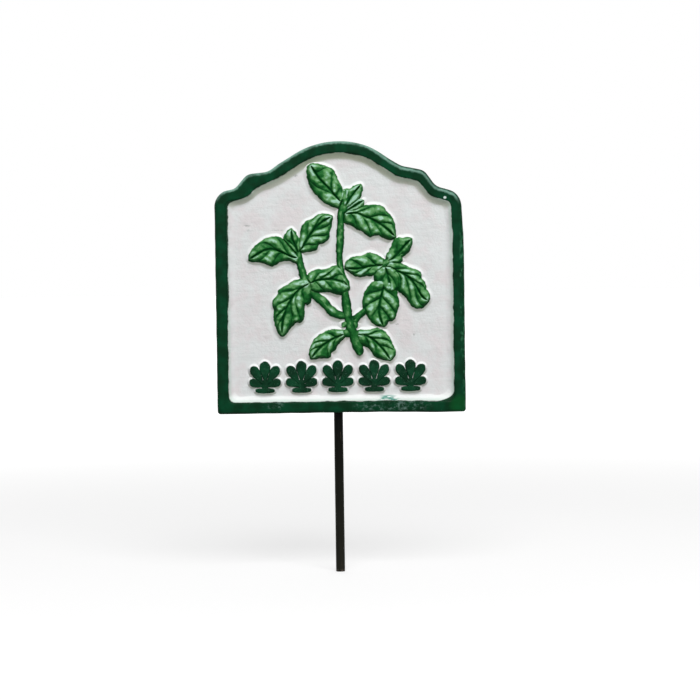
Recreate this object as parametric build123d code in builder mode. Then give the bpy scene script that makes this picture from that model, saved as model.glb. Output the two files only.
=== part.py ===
"""Plant label stake: a cast plaque with a raised border and a herb sprig, screwed onto a steel rod.

The rod stands along Z with its tip at the origin. The plaque faces -Y.
"""

from build123d import *
from collections import namedtuple
import os
from math import atan, cos, degrees, log, pi, radians, sin, tan

os.makedirs("parts", exist_ok=True)

# Rod: black steel wire with a square-cut foot and a threaded top
rod_diameter = 3.0
rod_visible_length = 53.0
thread_length = 14.0
thread_pitch = 0.5
thread_depth = 0.28

# Socket: blind hole that goes up into the plaque from its bottom edge
socket_clearance = 0.05
socket_end_gap = 1.0
socket_front_wall = 1.2
socket_boss_wall = 2.1
socket_boss_cap = 3.5
socket_boss_rounding = 1.2

# Plaque: one casting, held a little off its middle by the rod
plaque_width = 82.0
plaque_height = 89.4
plaque_offset = 1.1
plate_thickness = 3.0

# Border: raised band along the whole edge, with a sloped inner wall down to the panel
rim_width = 3.8
rim_rise = 2.2
rim_rounding = 0.9
rim_lip = 0.25
cove_width = 1.7

# Outline of the top, for one half. Each point is a share of the half width:
# how far out it lies, and how far below the top of the arch.
corner_shares = (1.0, 0.400)
step_shares = (0.829, 0.371)
shoulder_shares = (0.705, 0.244)
arch_foot_share = 0.546
arch_end_share = 0.392
arch_flank_angle = 35.0
foot_radius = 1.0
corner_radius = 4.2
step_radius = 3.0
shoulder_radius = 4.2
arch_foot_radius = 3.0

# Sprig: leaves and stems in relief
leaf_edge_rise = 1.0
leaf_puff_rise = 0.75
leaf_layer_rise = 0.3
leaf_flare = 0.25
leaf_fullness = 0.5
leaf_sweep_share = 0.06
lobe_notch_share = 0.86
lobe_top_share = 0.5
stem_rise = 1.5
branch_rise = 1.2
stem_width = 2.7
stem_foot_width = 3.4
branch_width = 2.6
stem_tip_share = 0.6

# Each leaf: base and tip as shares of the plaque's width and height, then shares of the leaf's own
# length (bow of the midrib to the left, left half, right half, where it is widest), then the number
# of lobes on a side and the layer that it stands on
Leaf = namedtuple("Leaf", "base tip bow left right widest lobes layer")
leaf_shares = {
    "top_left": ((0.013, 0.764), (-0.122, 0.903), -0.02, 0.25, 0.28, 0.50, 3, 1),
    "top_bud": ((0.012, 0.750), (0.086, 0.832), 0.05, 0.24, 0.19, 0.50, 1, 1),
    "top_bud_back": ((0.007, 0.765), (0.030, 0.825), 0.00, 0.30, 0.30, 0.50, 1, 0),
    "top_bud_side": ((0.040, 0.750), (0.104, 0.774), 0.00, 0.30, 0.24, 0.50, 1, 0),
    "top_right": ((0.014, 0.735), (0.222, 0.645), 0.10, 0.27, 0.25, 0.50, 4, 1),
    "left_low": ((-0.165, 0.577), (-0.365, 0.575), -0.14, 0.29, 0.24, 0.48, 3, 1),
    "left_bud": ((-0.176, 0.600), (-0.194, 0.682), 0.00, 0.30, 0.30, 0.50, 1, 0),
    "left_high": ((-0.157, 0.592), (-0.033, 0.722), 0.09, 0.24, 0.29, 0.47, 3, 1),
    "middle_drooping": ((-0.118, 0.480), (-0.233, 0.288), -0.17, 0.30, 0.25, 0.40, 4, 2),
    "middle_right": ((-0.128, 0.475), (0.029, 0.466), 0.14, 0.29, 0.28, 0.50, 3, 2),
    "right_inner": ((0.180, 0.540), (0.023, 0.551), 0.00, 0.28, 0.27, 0.52, 3, 1),
    "right_high": ((0.178, 0.545), (0.284, 0.637), 0.02, 0.27, 0.25, 0.60, 2, 1),
    "right_outer": ((0.200, 0.542), (0.350, 0.396), 0.03, 0.27, 0.24, 0.46, 4, 1),
    "right_front": ((0.176, 0.545), (0.220, 0.430), 0.00, 0.34, 0.40, 0.50, 2, 2),
    "right_low": ((0.173, 0.490), (0.161, 0.316), 0.00, 0.36, 0.38, 0.52, 4, 1),
    "bottom_left": ((0.038, 0.294), (-0.121, 0.206), -0.09, 0.28, 0.24, 0.48, 3, 1),
    "bottom_right": ((0.058, 0.293), (0.203, 0.194), 0.12, 0.23, 0.25, 0.52, 3, 1),
}

# Runs of the stems as shares of the plaque's width and height
main_stem_shares = [
    (0.009, 0.775), (0.006, 0.690), (0.003, 0.590), (0.006, 0.517), (0.018, 0.445),
    (0.028, 0.369), (0.046, 0.299), (0.064, 0.252), (0.081, 0.213),
]
left_branch_shares = [
    (0.024, 0.336), (-0.037, 0.370), (-0.083, 0.412), (-0.122, 0.455), (-0.148, 0.520), (-0.165, 0.600),
]
right_branch_shares = [(0.036, 0.322), (0.057, 0.356), (0.096, 0.379), (0.140, 0.450), (0.182, 0.545)]

# Half of a stem's cross-section: shares of its half width and of its rise
stem_section_shares = [(1.0, 0.0), (0.92, 0.45), (0.62, 0.85), (0.25, 1.0)]

# Row of five like motifs below the sprig, each a small palmette of leaflets on a stem
motif_count = 5
motif_height = 10.3
motif_pitch = 12.0
motif_row_offset = -1.2
motif_row_height = 6.9
motif_rise = 1.5
motif_flare = 0.3
motif_stem_width = 1.5
motif_stem_height = 4.5
motif_foot_width = 4.6
motif_foot_height = 1.3

# Each leaflet: base and tip, and its half width, as shares of the motif's height
leaflet_shares = [
    ((0.0, 0.30), (0.0, 1.0), 0.13),
    ((0.0, 0.24), (0.45, 0.82), 0.11),
    ((0.0, 0.24), (-0.45, 0.82), 0.11),
    ((0.0, 0.22), (0.46, 0.36), 0.09),
    ((0.0, 0.22), (-0.46, 0.36), 0.09),
]

cut_overrun = 1.0

# Levels in front of the rod's axis
socket_radius = rod_diameter / 2 + socket_clearance
socket_depth = thread_length + socket_end_gap
panel_level = socket_radius + socket_front_wall
back_level = panel_level - plate_thickness
rim_level = panel_level + rim_rise
plaque_foot = Plane.XY.offset(rod_visible_length)


def face_plane(level, aside=0, up=0):
    """Plane that looks out of the plaque's face, with its origin over the middle of the plaque's foot."""
    origin = (plaque_offset + aside, -level, rod_visible_length + up)
    return Plane(origin=origin, x_dir=(1, 0, 0), z_dir=(0, -1, 0))


def plaque_outline(inset):
    """Outline face, its foot on the X axis, drawn in by inset: straight sides, stepped shoulders, an arch."""
    half = plaque_width / 2

    def crest_point(shares):
        return (shares[0] * half, plaque_height - shares[1] * half)

    arch_end = arch_end_share * half
    arch_radius = arch_end / sin(radians(arch_flank_angle))
    arch_drop = arch_radius * (1 - cos(radians(arch_flank_angle)))
    flank_drop = (arch_foot_share - arch_end_share) * half * tan(radians(arch_flank_angle))
    arch_start = (arch_end, plaque_height - arch_drop)
    arch_foot = (arch_foot_share * half, plaque_height - arch_drop - flank_drop)
    with BuildSketch(mode=Mode.PRIVATE) as outline:
        with BuildLine():
            FilletPolyline(
                (0, 0),
                (half, 0),
                crest_point(corner_shares),
                crest_point(step_shares),
                crest_point(shoulder_shares),
                arch_foot,
                arch_start,
                radius=[foot_radius, corner_radius, step_radius, shoulder_radius, arch_foot_radius],
            )
            RadiusArc(arch_start, (0, plaque_height), -arch_radius)
            mirror(about=Plane.YZ)
        make_face()
        if inset:
            offset(amount=-inset, kind=Kind.INTERSECTION)
    return outline.sketch


# Stake rod: the thread is a row of V grooves, one for each turn
with BuildPart() as stake_rod:
    radius = rod_diameter / 2
    groove_radius = radius - thread_depth
    turns = round(thread_length / thread_pitch)
    pitch = thread_length / turns
    profile = [(0, 0), (radius, 0)]
    for turn in range(turns):
        profile.append((radius, rod_visible_length + turn * pitch))
        profile.append((groove_radius, rod_visible_length + (turn + 0.5) * pitch))
    profile.append((groove_radius, rod_visible_length + thread_length))
    profile.append((0, rod_visible_length + thread_length))
    with BuildSketch(Plane.XZ):
        with BuildLine():
            Polyline(profile, close=True)
        make_face()
    revolve(axis=Axis.Z)
stake_rod.part.label = "stake_rod"
export_step(stake_rod.part, "parts/stake_rod.step")


# Plaque plate: white panel with the sloped wall round it, and the socket's boss on its back
with BuildPart() as plaque_plate:
    boss_radius = socket_radius + socket_boss_wall
    boss_length = socket_depth + socket_boss_cap
    cove_height = rim_rise - rim_lip
    cove_slope = degrees(atan(cove_width / cove_height))
    with BuildSketch(face_plane(back_level)):
        add(plaque_outline(rim_width))
    extrude(amount=plate_thickness + cove_height)
    with BuildSketch(face_plane(panel_level)):
        add(plaque_outline(rim_width + cove_width))
    extrude(amount=cove_height, taper=-cove_slope, mode=Mode.SUBTRACT)
    with BuildSketch(plaque_foot):
        Circle(boss_radius)
        with Locations((0, -back_level)):
            Rectangle(2 * boss_radius, 2 * boss_radius, align=(Align.CENTER, Align.MAX), mode=Mode.SUBTRACT)
    extrude(amount=boss_length)
    fillet(edges(Select.LAST).filter_by(GeomType.CIRCLE).sort_by(Axis.Z)[-1], radius=socket_boss_rounding)
    with BuildSketch(plaque_foot):
        Circle(socket_radius)
    extrude(amount=socket_depth, mode=Mode.SUBTRACT)
plaque_plate.part.label = "plaque_plate"
export_step(plaque_plate.part, "parts/plaque_plate.step")


# Rim band: the raised border, through the plaque's whole thickness
with BuildPart() as rim_band:
    with BuildSketch(face_plane(back_level)):
        add(plaque_outline(0))
        add(plaque_outline(rim_width), mode=Mode.SUBTRACT)
    extrude(amount=plate_thickness + rim_rise)
    fillet(faces().sort_by(Axis.Y)[0].outer_wire().edges(), radius=rim_rounding)
    with BuildSketch(plaque_foot):
        Circle(socket_radius)
    extrude(amount=rim_width + cut_overrun, mode=Mode.SUBTRACT)
rim_band.part.label = "rim_band"
export_step(rim_band.part, "parts/rim_band.step")


def leaf_point(leaf, along, across, reach=1.0):
    """Point of a leaf on the plaque's face.

    along runs from the leaf's base (0) to its tip (1), and across from its midrib (0) to its edge
    (left 1, right -1). The midrib is a parabola through the bow, the half width follows a sine whose
    crest lies at the widest place, and the blade sweeps forward towards its edge. A reach over 1
    stretches the midrib past both ends.
    """
    start = Vector(leaf.base[0] * plaque_width, leaf.base[1] * plaque_height)
    run = Vector(leaf.tip[0] * plaque_width, leaf.tip[1] * plaque_height) - start
    ahead = run.normalized()
    aside = Vector(-ahead.Y, ahead.X)
    stretched = 0.5 + (along - 0.5) * reach
    swell = sin(pi * along ** (log(0.5) / log(leaf.widest))) ** leaf_fullness if 0 < along < 1 else 0
    out = across * (leaf.left if across > 0 else leaf.right) * swell
    bowed = 4 * leaf.bow * stretched * (1 - stretched)
    swept = leaf_sweep_share * across * across * swell
    return start + (ahead * (stretched + swept) + aside * (bowed + out)) * run.length


def leaf_outline(leaf, flare):
    """Closed outline of a leaf as one arc for each lobe, let out by flare all round."""
    length = (leaf_point(leaf, 1, 0) - leaf_point(leaf, 0, 0)).length
    reach = 1 + 2 * flare / length
    across = 1 + 2 * flare / ((leaf.left + leaf.right) * length)
    for side in (across, -across):
        for lobe in range(leaf.lobes):
            near = lobe / leaf.lobes
            far = (lobe + 1) / leaf.lobes
            ThreePointArc(
                leaf_point(leaf, near, side * lobe_notch_share, reach),
                leaf_point(leaf, (near + far) / 2, side, reach),
                leaf_point(leaf, far, side * lobe_notch_share, reach),
            )


def lobe_outline(leaf, side, lobe, share):
    """Closed outline of one lobe, shrunk about its middle to a share of its size.

    It runs round the outer edge, in along the far vein, back down the midrib and out along the near
    vein. The first lobe has no near vein and the last one no far vein.
    """
    near = lobe / leaf.lobes
    far = (lobe + 1) / leaf.lobes
    corners = [
        leaf_point(leaf, near, side * lobe_notch_share),
        leaf_point(leaf, (near + far) / 2, side),
        leaf_point(leaf, far, side * lobe_notch_share),
        leaf_point(leaf, far, 0),
        leaf_point(leaf, near, 0),
    ]
    middle = sum(corners, Vector()) / len(corners)
    near_notch, crest, far_notch, end, root = [middle + (corner - middle) * share for corner in corners]
    ThreePointArc(near_notch, crest, far_notch)
    if lobe < leaf.lobes - 1:
        Line(far_notch, end)
    Line(end, root)
    if lobe > 0:
        Line(root, near_notch)


def leaf_solid(leaf):
    """Leaf in relief: a flared slab with a puffed lobe for each stretch between two veins."""
    edge_level = panel_level + leaf_edge_rise + leaf.layer * leaf_layer_rise
    with BuildPart(mode=Mode.PRIVATE) as solid:
        for level, flare in ((panel_level, leaf_flare), (edge_level, 0)):
            with BuildSketch(face_plane(level)):
                with BuildLine():
                    leaf_outline(leaf, flare)
                make_face()
        loft(ruled=True)
        for side in (1, -1):
            for lobe in range(leaf.lobes):
                for level, share in ((edge_level, 1), (edge_level + leaf_puff_rise, lobe_top_share)):
                    with BuildSketch(face_plane(level)):
                        with BuildLine():
                            lobe_outline(leaf, side, lobe, share)
                        make_face()
                loft(ruled=True)
    return solid.part


def stem_solid(run_shares, start_width, end_width, rise):
    """Stem in relief: a ruled loft of a rounded section along its run, drawn in at its last point."""
    points = [Vector(u * plaque_width, v * plaque_height) for u, v in run_shares]
    last = len(points) - 1
    with BuildPart(mode=Mode.PRIVATE) as solid:
        for index, point in enumerate(points):
            ahead = (points[min(index + 1, last)] - points[max(index - 1, 0)]).normalized()
            width = start_width + (end_width - start_width) * index / last
            half = width / 2 * (stem_tip_share if index == last else 1)
            place = face_plane(panel_level, point.X, point.Y)
            section = Plane(origin=place.origin, x_dir=(-ahead.Y, 0, ahead.X), z_dir=(ahead.X, 0, ahead.Y))
            right_half = [(across * half, up * rise) for across, up in stem_section_shares]
            left_half = [(-x, y) for x, y in reversed(right_half)]
            with BuildSketch(section):
                with BuildLine():
                    Polyline(right_half + left_half, close=True)
                make_face()
        loft(ruled=True)
    return solid.part


# Herb sprig: every leaf and stem in one piece, raised from the panel
leaves = [leaf_solid(Leaf(*shares)) for shares in leaf_shares.values()]
stems = [
    stem_solid(main_stem_shares, stem_width, stem_foot_width, stem_rise),
    stem_solid(left_branch_shares, branch_width, branch_width, branch_rise),
    stem_solid(right_branch_shares, branch_width, branch_width, branch_rise),
]
with BuildPart() as herb_sprig:
    add(stems + leaves)
herb_sprig.part.label = "herb_sprig"
export_step(herb_sprig.part, "parts/herb_sprig.step")


def leaflet_outline(leaflet, flare):
    """Closed outline of a pointed leaflet, two arcs from its base to its tip, let out by flare."""
    base, tip, half_width = leaflet
    ahead = Vector(tip[0] - base[0], tip[1] - base[1]).normalized()
    start = Vector(base[0], base[1]) * motif_height - ahead * flare
    end = Vector(tip[0], tip[1]) * motif_height + ahead * flare
    bulge = Vector(-ahead.Y, ahead.X) * (half_width * motif_height + flare)
    middle = (start + end) / 2
    ThreePointArc(start, middle + bulge, end)
    ThreePointArc(end, middle - bulge, start)


# Ornament row: equal palmettes with drafted sides
motif_levels = ((panel_level, motif_flare), (panel_level + motif_rise, 0))
with BuildPart() as motif:
    for leaflet in leaflet_shares:
        for level, flare in motif_levels:
            with BuildSketch(face_plane(level, motif_row_offset, motif_row_height)):
                with BuildLine():
                    leaflet_outline(leaflet, flare)
                make_face()
        loft(ruled=True)
    for width, height in ((motif_foot_width, motif_foot_height), (motif_stem_width, motif_stem_height)):
        for level, flare in motif_levels:
            with BuildSketch(face_plane(level, motif_row_offset, motif_row_height)):
                Rectangle(width + 2 * flare, height + flare, align=(Align.CENTER, Align.MIN))
        loft(ruled=True)

with BuildPart() as ornament_row:
    first_motif = -(motif_count - 1) / 2 * motif_pitch
    with Locations([(first_motif + index * motif_pitch, 0, 0) for index in range(motif_count)]):
        add(motif.part)
ornament_row.part.label = "ornament_row"
export_step(ornament_row.part, "parts/ornament_row.step")
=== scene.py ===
import bmesh
import bpy
import numpy as np
from mathutils import Matrix, Vector


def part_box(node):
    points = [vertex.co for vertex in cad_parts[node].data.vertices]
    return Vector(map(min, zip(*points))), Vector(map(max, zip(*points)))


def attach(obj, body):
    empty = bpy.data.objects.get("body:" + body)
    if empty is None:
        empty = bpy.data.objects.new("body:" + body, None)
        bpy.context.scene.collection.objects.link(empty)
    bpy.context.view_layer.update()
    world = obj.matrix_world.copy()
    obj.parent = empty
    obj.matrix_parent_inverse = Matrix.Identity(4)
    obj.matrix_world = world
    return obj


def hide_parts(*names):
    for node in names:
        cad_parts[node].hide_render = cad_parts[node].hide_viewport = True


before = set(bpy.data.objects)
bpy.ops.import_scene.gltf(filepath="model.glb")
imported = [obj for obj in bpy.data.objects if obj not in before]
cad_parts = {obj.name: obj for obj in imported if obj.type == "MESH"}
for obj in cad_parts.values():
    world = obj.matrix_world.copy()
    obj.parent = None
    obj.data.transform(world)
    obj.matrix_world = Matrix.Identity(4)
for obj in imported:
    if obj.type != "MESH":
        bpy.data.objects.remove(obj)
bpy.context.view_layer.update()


# Stake rod: 3 mm steel wire, cut square at the foot and dipped in black paint. A fine thread on its top end
# screws up into the plaque's foot. Lengths are in millimetres until a mesh is made.
MM = 0.001
rod_low, rod_high = (np.array(corner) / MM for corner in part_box("stake_rod"))
plaque_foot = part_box("rim_band")[0][2] / MM
rod_radius = (rod_high[0] - rod_low[0]) / 2
rod_foot_bevel = 0.1
rod_unevenness = 0.015
thread_pitch = 0.5
thread_depth = 0.28
rod_columns, rod_rows = 48, 100
thread_rows_per_turn = 9
merge_distance = 0.002
chipped_up_to, rubbed_from = 1.1, 0.2


def ripples(a, b, size, seed, waves=9):
    """Unevenness over two coordinates, mostly from -1 to 1: sine waves of about one length, added up.

    Each wave has its own direction, phase and length, drawn from the seed."""
    draw = np.random.default_rng(seed)
    total = 0
    for turn, phase, stretch in draw.uniform((0, 0, 0.6), (2 * np.pi, 2 * np.pi, 1.5), (waves, 3)):
        total = total + np.sin(2 * np.pi / (size * stretch) * (a * np.cos(turn) + b * np.sin(turn)) + phase)
    return total / np.sqrt(waves)


def dips(a, b, size, seed):
    """Ripples cut off and moved so that they run from 0 to 1."""
    return 0.5 + 0.5 * np.clip(ripples(a, b, size, seed), -1, 1)


def grid_quads(rows, columns, closed_rows):
    """Quads between neighbouring points of a grid whose columns close, and its rows too if asked."""
    row = np.arange(rows if closed_rows else rows - 1)[:, None]
    column = np.arange(columns)[None, :]
    next_row, next_column = (row + 1) % rows, (column + 1) % columns
    corners = (
        row * columns + column,
        row * columns + next_column,
        next_row * columns + next_column,
        next_row * columns + column,
    )
    return np.stack(corners, axis=-1).reshape(-1, 4)


def grid_mesh(name, grids, closed_rows=False):
    """A closed mesh from grids of points, each a pair of its points and its marks, by name.

    Each row of a grid is a closed ring. A first or last row that is folded flat or drawn to a point closes
    that end, because doubled points are merged. A grid of negative volume has its faces turned over."""
    all_points, all_quads, marks, count = [], [], {}, 0
    for points, grid_marks in grids:
        rows, columns = points.shape[:2]
        points = points.reshape(-1, 3)
        quads = grid_quads(rows, columns, closed_rows)
        a, b, c, d = (points[quads[:, k]] - points.mean(axis=0) for k in range(4))
        volume = np.einsum("ij,ij->", a, np.cross(b, c)) + np.einsum("ij,ij->", a, np.cross(c, d))
        all_points.append(points)
        all_quads.append((quads if volume > 0 else quads[:, ::-1]) + count)
        count += len(points)
        for mark, values in grid_marks.items():
            marks.setdefault(mark, []).append(np.broadcast_to(values, (rows, columns)).ravel())
    points, quads = np.concatenate(all_points), np.concatenate(all_quads)
    mesh = bpy.data.meshes.new(name)
    mesh.vertices.add(len(points))
    mesh.vertices.foreach_set("co", (points * MM).ravel())
    mesh.loops.add(quads.size)
    mesh.loops.foreach_set("vertex_index", quads.ravel())
    mesh.polygons.add(len(quads))
    mesh.polygons.foreach_set("loop_start", np.arange(0, quads.size, 4))
    mesh.update(calc_edges=True)
    for mark, values in marks.items():
        mesh.attributes.new(mark, "FLOAT", "POINT").data.foreach_set("value", np.concatenate(values))
    merged = bmesh.new()
    merged.from_mesh(mesh)
    bmesh.ops.remove_doubles(merged, verts=merged.verts, dist=merge_distance * MM)
    bmesh.ops.dissolve_degenerate(merged, edges=merged.edges, dist=merge_distance / 4 * MM)
    merged.to_mesh(mesh)
    merged.free()
    mesh.shade_smooth()
    return mesh


def make_piece(name, grids, body, dressed, paint, closed_rows=False):
    """A painted piece that rides on a body, fills a slot and stands in for the CAD node that it dresses."""
    piece = bpy.data.objects.new(name, grid_mesh(name, grids, closed_rows))
    piece.data.materials.append(paint)
    bpy.context.scene.collection.objects.link(piece)
    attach(piece, body)
    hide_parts(dressed)
    return piece


def srgb(red, green, blue):
    """A colour as a screen shows it, 0 to 255, turned into the linear values that a shader takes."""
    share = np.array([red, green, blue]) / 255
    linear = np.where(share <= 0.04045, share / 12.92, ((share + 0.055) / 1.055) ** 2.4)
    return (*linear, 1.0)


class Layer:
    """A value or a colour that varies over a paint. Layers can be added, subtracted and multiplied."""

    def __init__(self, paint, kind, output=0, sockets=None, **settings):
        """Adds a shader node. Each socket takes a value, or is fed from the layer or output that is given."""
        made = paint.node_tree.nodes.new("ShaderNode" + kind)
        for key, value in settings.items():
            setattr(made, key, value)
        for key, value in (sockets or {}).items():
            value = getattr(value, "socket", value)
            if isinstance(value, bpy.types.NodeSocket):
                paint.node_tree.links.new(value, made.inputs[key])
            else:
                made.inputs[key].default_value = value
        self.paint = paint
        self.socket = made.outputs[output]

    def sum(self, operation, other):
        """One sum on this layer and another layer or number."""
        return Layer(self.paint, "Math", 0, {0: self, 1: other}, operation=operation)

    def __add__(self, other):
        return self.sum("ADD", other)

    def __sub__(self, other):
        return self.sum("SUBTRACT", other)

    def __mul__(self, other):
        return self.sum("MULTIPLY", other)


def place(paint):
    """Where a point lies on the object, in metres."""
    return Layer(paint, "TexCoord", "Object")


def along(paint, axis):
    """Where a point lies along X, Y or Z, in metres."""
    return Layer(paint, "SeparateXYZ", axis, {0: place(paint)})


def grain(paint, size, detail=3.0, rough=0.5):
    """Cloudy noise from 0 to 1 whose patches are about size millimetres across, along x, y and z."""
    scale = [1 / (length * MM) for length in (size if isinstance(size, tuple) else (size,) * 3)]
    spread = Layer(paint, "Mapping", 0, {"Vector": place(paint), "Scale": scale})
    sockets = {"Vector": spread, "Scale": 1.0, "Detail": detail, "Roughness": rough}
    return Layer(paint, "TexNoise", "Fac", sockets)


def step(layer, low, high, start=0.0, end=1.0):
    """Goes smoothly from start to end while a layer goes from low to high."""
    sockets = {"Value": layer, "From Min": low, "From Max": high, "To Min": start, "To Max": end}
    return Layer(layer.paint, "MapRange", 0, sockets, interpolation_type="SMOOTHSTEP")


def blend(share, first, second):
    """A colour that goes from the first to the second with the share."""
    return Layer(share.paint, "Mix", 2, {0: share, 6: first, 7: second}, data_type="RGBA")


def new_paint(name):
    """An empty painted finish."""
    paint = bpy.data.materials.new(name)
    paint.use_nodes = True
    return paint


def finish_paint(colour, roughness, height, depth, gloss):
    """Joins a paint's colour and its unevenness, depth millimetres deep, to its shader.

    The roughness is cloudy, and is given as the size of its clouds, its least and its most."""
    paint = colour.paint
    size, least, most = roughness
    cloudy = step(grain(paint, size), 0.3, 0.7, least, most)
    bump = Layer(paint, "Bump", 0, {"Height": height, "Distance": depth * MM, "Strength": 1.0})
    shader = paint.node_tree.nodes["Principled BSDF"]
    for layer, socket in ((colour, "Base Color"), (cloudy, "Roughness"), (bump, "Normal")):
        paint.node_tree.links.new(layer.socket, shader.inputs[socket])
    shader.inputs["Specular IOR Level"].default_value = gloss
    return paint


def full_turn(columns):
    """Angles round the rod's axis, evenly spaced."""
    return np.linspace(0, 2 * np.pi, columns, endpoint=False)


def turned(reach, height, angle):
    """Points of a turned surface, from its reach out from the rod's axis, its height and the angle."""
    return np.stack([reach * np.cos(angle), reach * np.sin(angle), height + 0 * angle], axis=-1)


def rod_surface():
    """A turned surface whose radius follows the height. The thread's V groove climbs one pitch a turn.

    The groove's depth is a saw-tooth of height over pitch less the angle's share of a turn."""
    thread_length = rod_high[2] - plaque_foot
    plain = np.linspace(rod_foot_bevel, plaque_foot, rod_rows)
    thread_rows = int(thread_rows_per_turn * thread_length / thread_pitch)
    cut = plaque_foot + np.linspace(0, thread_length, thread_rows)[1:]
    height = np.concatenate([[0, 0], plain, cut, [rod_high[2]]])
    sides = np.full(len(plain) + len(cut), rod_radius)
    radius = np.concatenate([[0, rod_radius - rod_foot_bevel], sides, [0]])
    height, angle = height[:, None], full_turn(rod_columns)
    turns = (height - plaque_foot) / thread_pitch - angle / (2 * np.pi)
    tooth = 1 - np.abs(2 * (turns % 1) - 1)
    depth = thread_depth * tooth * np.clip((height - plaque_foot) / thread_pitch, 0, 1)
    dents = rod_unevenness * dips(height, 0 * angle, 9.0, 3)
    reach = np.maximum(radius[:, None] - depth - dents, 0) * (radius[:, None] > 0)
    return turned(reach, height, angle)


def black_paint():
    """Satin black: dusty towards the foot, rusty in a few scratches, and rubbed to steel on the thread."""
    black, dusty, rusty = srgb(4, 5, 3), srgb(46, 46, 38), srgb(74, 66, 56)
    chipped, steel = srgb(96, 88, 80), srgb(104, 102, 96)
    paint = new_paint("black_rod_paint")
    up = along(paint, "Z")
    colour = blend(step(up, plaque_foot * MM, 0.0) * grain(paint, (2, 2, 9)), black, dusty)
    colour = blend(step(grain(paint, (0.5, 0.5, 4.0), 4.0), 0.66, 0.74), colour, rusty)
    at_foot = step(up, chipped_up_to * MM, (chipped_up_to - 1) * MM)
    colour = blend(at_foot * step(grain(paint, 0.7), 0.45, 0.6), colour, chipped)
    rubbed_and_sheen = step(up, (plaque_foot + rubbed_from) * MM, (plaque_foot + rubbed_from + 1) * MM)
    colour = blend(rubbed_and_sheen * step(grain(paint, 0.8, 4.0), 0.25, 0.6), colour, steel)
    return finish_paint(colour, (1.5, 0.42, 0.6), grain(paint, (0.8, 0.8, 1.6)), 0.06, 0.06)


make_piece("stake_rod_wire", [(rod_surface(), {})], "stake", "stake_rod", black_paint())


# Panel: the cast plate inside the border, brushed with white enamel. A hollow wall, the cove, rises from it
# to the border, and its back is left as it came out of the sand. Places on the plaque are x right of its
# middle, up from its foot, and level forward of the rod's axis.
rim_low, rim_high = (np.array(corner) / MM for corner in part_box("rim_band"))
plaque_middle = (rim_low[0] + rim_high[0]) / 2
plaque_height = rim_high[2] - plaque_foot
half_width = (rim_high[0] - rim_low[0]) / 2
rim_level = -rim_low[1]
back_level = -rim_high[1]
rim_width = 3.8
panel_level = rim_level - 2.2
cove_top_level = rim_level - 0.25
cove_foot = rim_width + 2.4
cove_bend = (1.0, 0.3)
panel_middle = np.array([0.0, 40.0])
panel_rows, cove_rows, back_row_step = 67, 13, 3
panel_swell, cove_unevenness, back_unevenness = 0.04, 0.05, 0.12
seam_width, seam_depth = 0.05, 0.1
edge_waver = 1.3
# Heights up from the foot over which the painted shade in the cove under the arch grows to full
cove_shade_starts, cove_shade_full = 75.0, 82.0
border_deep, border_plain = srgb(0, 42, 20), srgb(0, 60, 34)

# The mark for the distance in from the edge: what it gains from the cove's foot to the panel's middle, and
# its value on the back
middle_mark, back_mark = 30.0, 20.0

# The outline's corners between foot and arch, in half widths out from the middle and down from the top
right_crests = ((1.0, 0.436), (0.790, 0.369), (0.686, 0.242))
left_crests = ((1.0, 0.412), (0.836, 0.357), (0.730, 0.254))
right_arch_foot, left_arch_foot = 0.506, 0.559
arch_end_share = 0.392
arch_flank_angle = np.radians(35.0)
corner_radii = (1.0, 6.0, 6.0, 4.5, 7.0)
inner_radii = (2.2, 2.2, 8.0, 2.5, 9.0)
side_steps = (70, 130, 6, 10, 8, 12)
arc_steps, arch_steps = 12, 56
inner_start = 1.2

# Where the casting strays from its plain outline, and where only the border's inner edge does: place, radius
# and how far it is pushed across and up
outline_pushes = [
    ((16.0, 84.2), 4.5, (-0.1, -0.5)), ((-34.3, 75.0), 2.8, (0.1, -0.5)),
    ((-20.3, 81.8), 4.0, (-0.1, 0.3)), ((40.9, 67.3), 7.0, (-0.6, 0.0)),
    ((31.7, 75.4), 3.0, (-0.2, -0.25)), ((34.0, 0.0), 14.0, (0.0, -0.35)),
]
inner_pushes = [((-29.8, 74.3), 4.2, (0.85, -1.5)), ((-21.5, 77.0), 4.5, (-0.3, 0.5))]

# Blemishes of the casting under the paint: place, radius, and how far the surface rises or sinks there
blemishes = [
    ((-14.1, 78.2), 0.55, -0.16), ((-30.9, 62.0), 0.7, -0.14), ((-29.4, 60.4), 0.5, 0.10),
    ((-21.8, 60.4), 0.45, -0.10), ((-19.2, 60.0), 0.5, -0.12), ((24.2, 25.4), 0.35, -0.16),
    ((18.6, 28.9), 0.6, -0.10), ((29.5, 52.0), 0.5, 0.09), ((-27.0, 30.5), 0.6, -0.06),
    ((31.0, 63.5), 0.6, 0.07), ((-12.6, 31.4), 0.5, -0.07), ((12.5, 74.0), 0.6, -0.06),
]

# Marks on the face, each a place and how far it reaches across and up: scratches in the white, a smear of
# thin green, and places where the border's green runs further in, each with the length that it gains
scratches = [
    (-30.4, 62.0, 2.2, 0.5), (-29.6, 60.5, 1.5, 0.5), (-20.6, 60.4, 3.2, 0.4), (-14.1, 78.2, 1.1, 0.6),
    (24.2, 25.4, 0.6, 0.6), (18.6, 28.9, 0.9, 0.6), (31.4, 70.8, 1.4, 0.5), (-12.6, 31.4, 0.8, 0.5),
]
smear = (15.3, 4.5, 4.8, 1.6)
green_gains = [(-37.0, 56.0, 6.0, 30.0, 0.45), (40.5, -0.5, 10.5, 7.4, 3.4)]


def on_face(x, up, level):
    """Points in the model's frame for places on the plaque's face."""
    x, up, level = np.broadcast_arrays(x, up, level)
    return np.stack([plaque_middle + x, -level, plaque_foot + up], axis=-1)


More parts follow.
